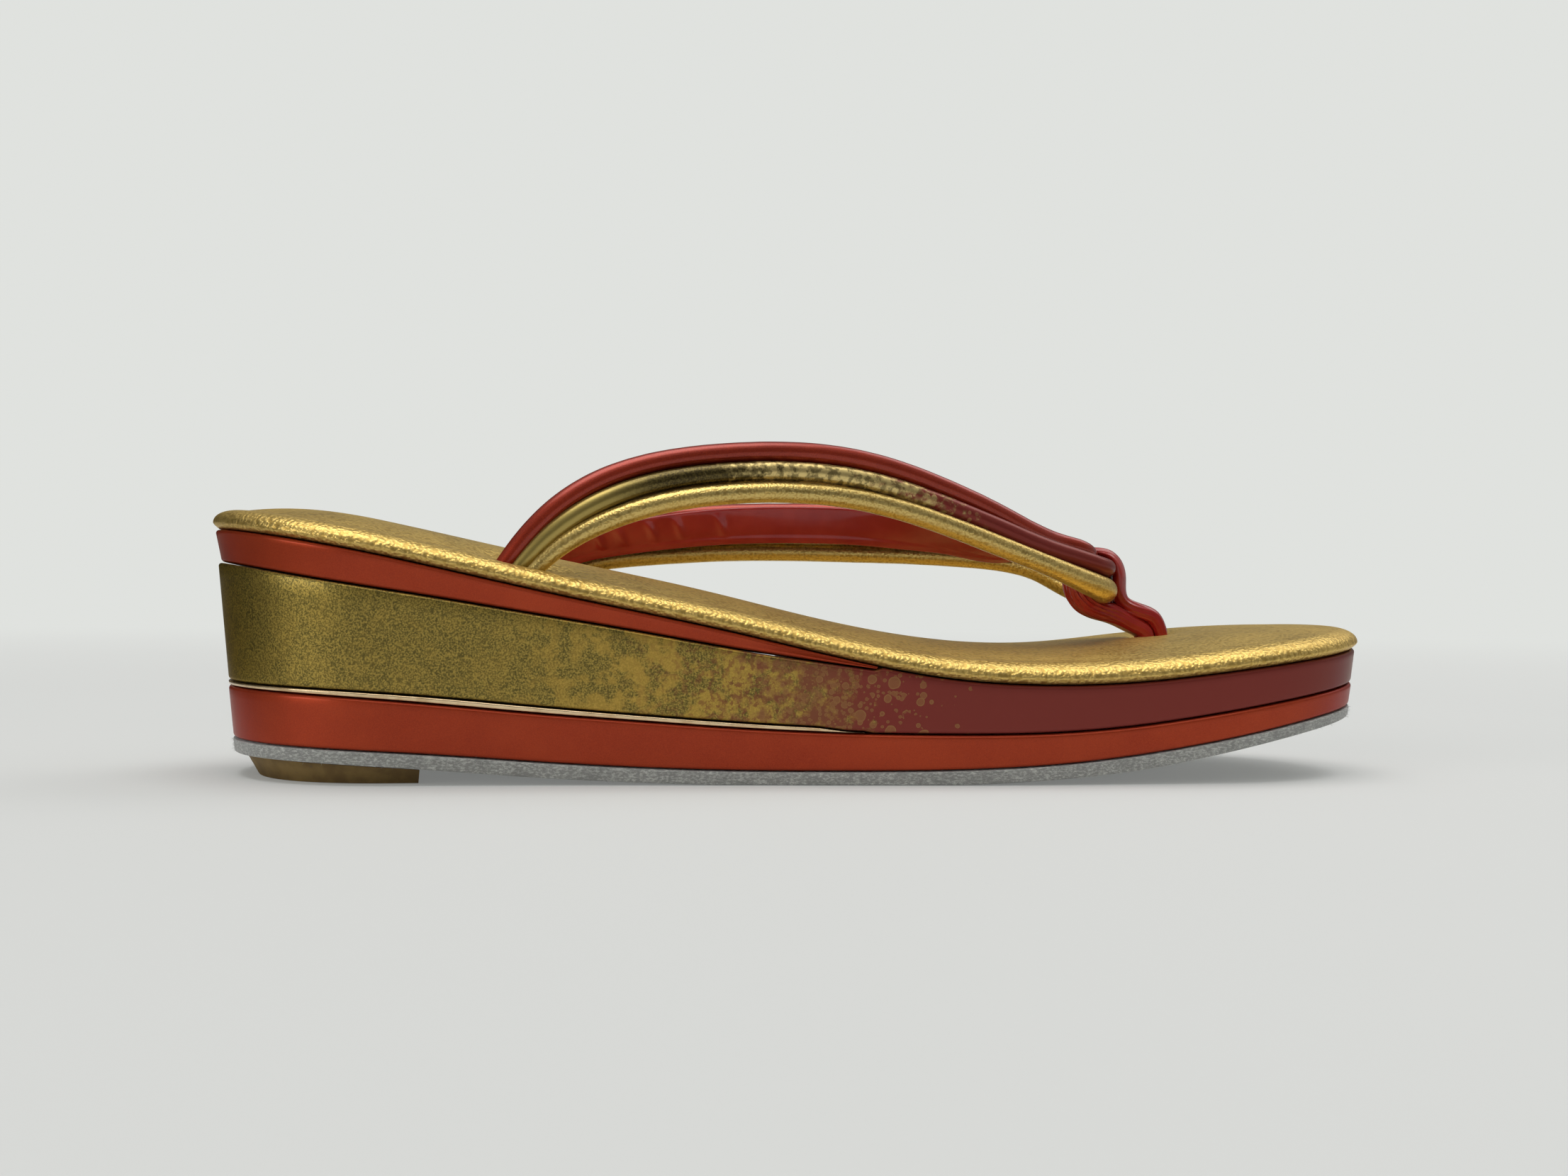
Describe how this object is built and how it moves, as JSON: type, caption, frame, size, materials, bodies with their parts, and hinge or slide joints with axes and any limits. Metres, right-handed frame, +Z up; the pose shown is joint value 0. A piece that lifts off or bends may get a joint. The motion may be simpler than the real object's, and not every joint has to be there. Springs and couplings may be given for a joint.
{
  "type": "zori sandal",
  "caption": "Wedge zori sandal with a padded gold insole, layered enamel sole, and a V strap of padded rolls held by a toe loop.",
  "frame": {"origin": "on the floor, under the middle of the sandal's length and width", "axes": "+X from the heel to the toe, +Y across the sandal away from the high side of the strap, +Z up"},
  "size_m": [0.24, 0.082, 0.0667],
  "materials": {
    "gold_leather": "grained metallic leather",
    "red_enamel": "pearly enamelled leather",
    "wedge_enamel": "enamelled leather fading from metallic gold at the heel through flecks to maroon at the toe",
    "champagne_foil": "bright metallic strip",
    "split_leather": "fibrous grey split leather",
    "tap_rubber": "brownish gold, matt",
    "red_patent": "glossy patent leather with creases",
    "bronze_enamel": "enamelled leather fading from bronze gold through flecks to maroon at the toe"
  },
  "bodies": {
    "root": {"insole_cushion": "gold_leather", "top_wedge": "red_enamel", "main_wedge": "wedge_enamel", "gold_strip": "champagne_foil", "bottom_layer": "red_enamel", "outsole": "split_leather", "heel_tap": "tap_rubber", "strap_lining": "red_patent", "red_roll": "red_enamel", "bronze_roll": "bronze_enamel", "gold_roll": "gold_leather", "toe_loop": "red_patent"}
  },
  "joints": []
}
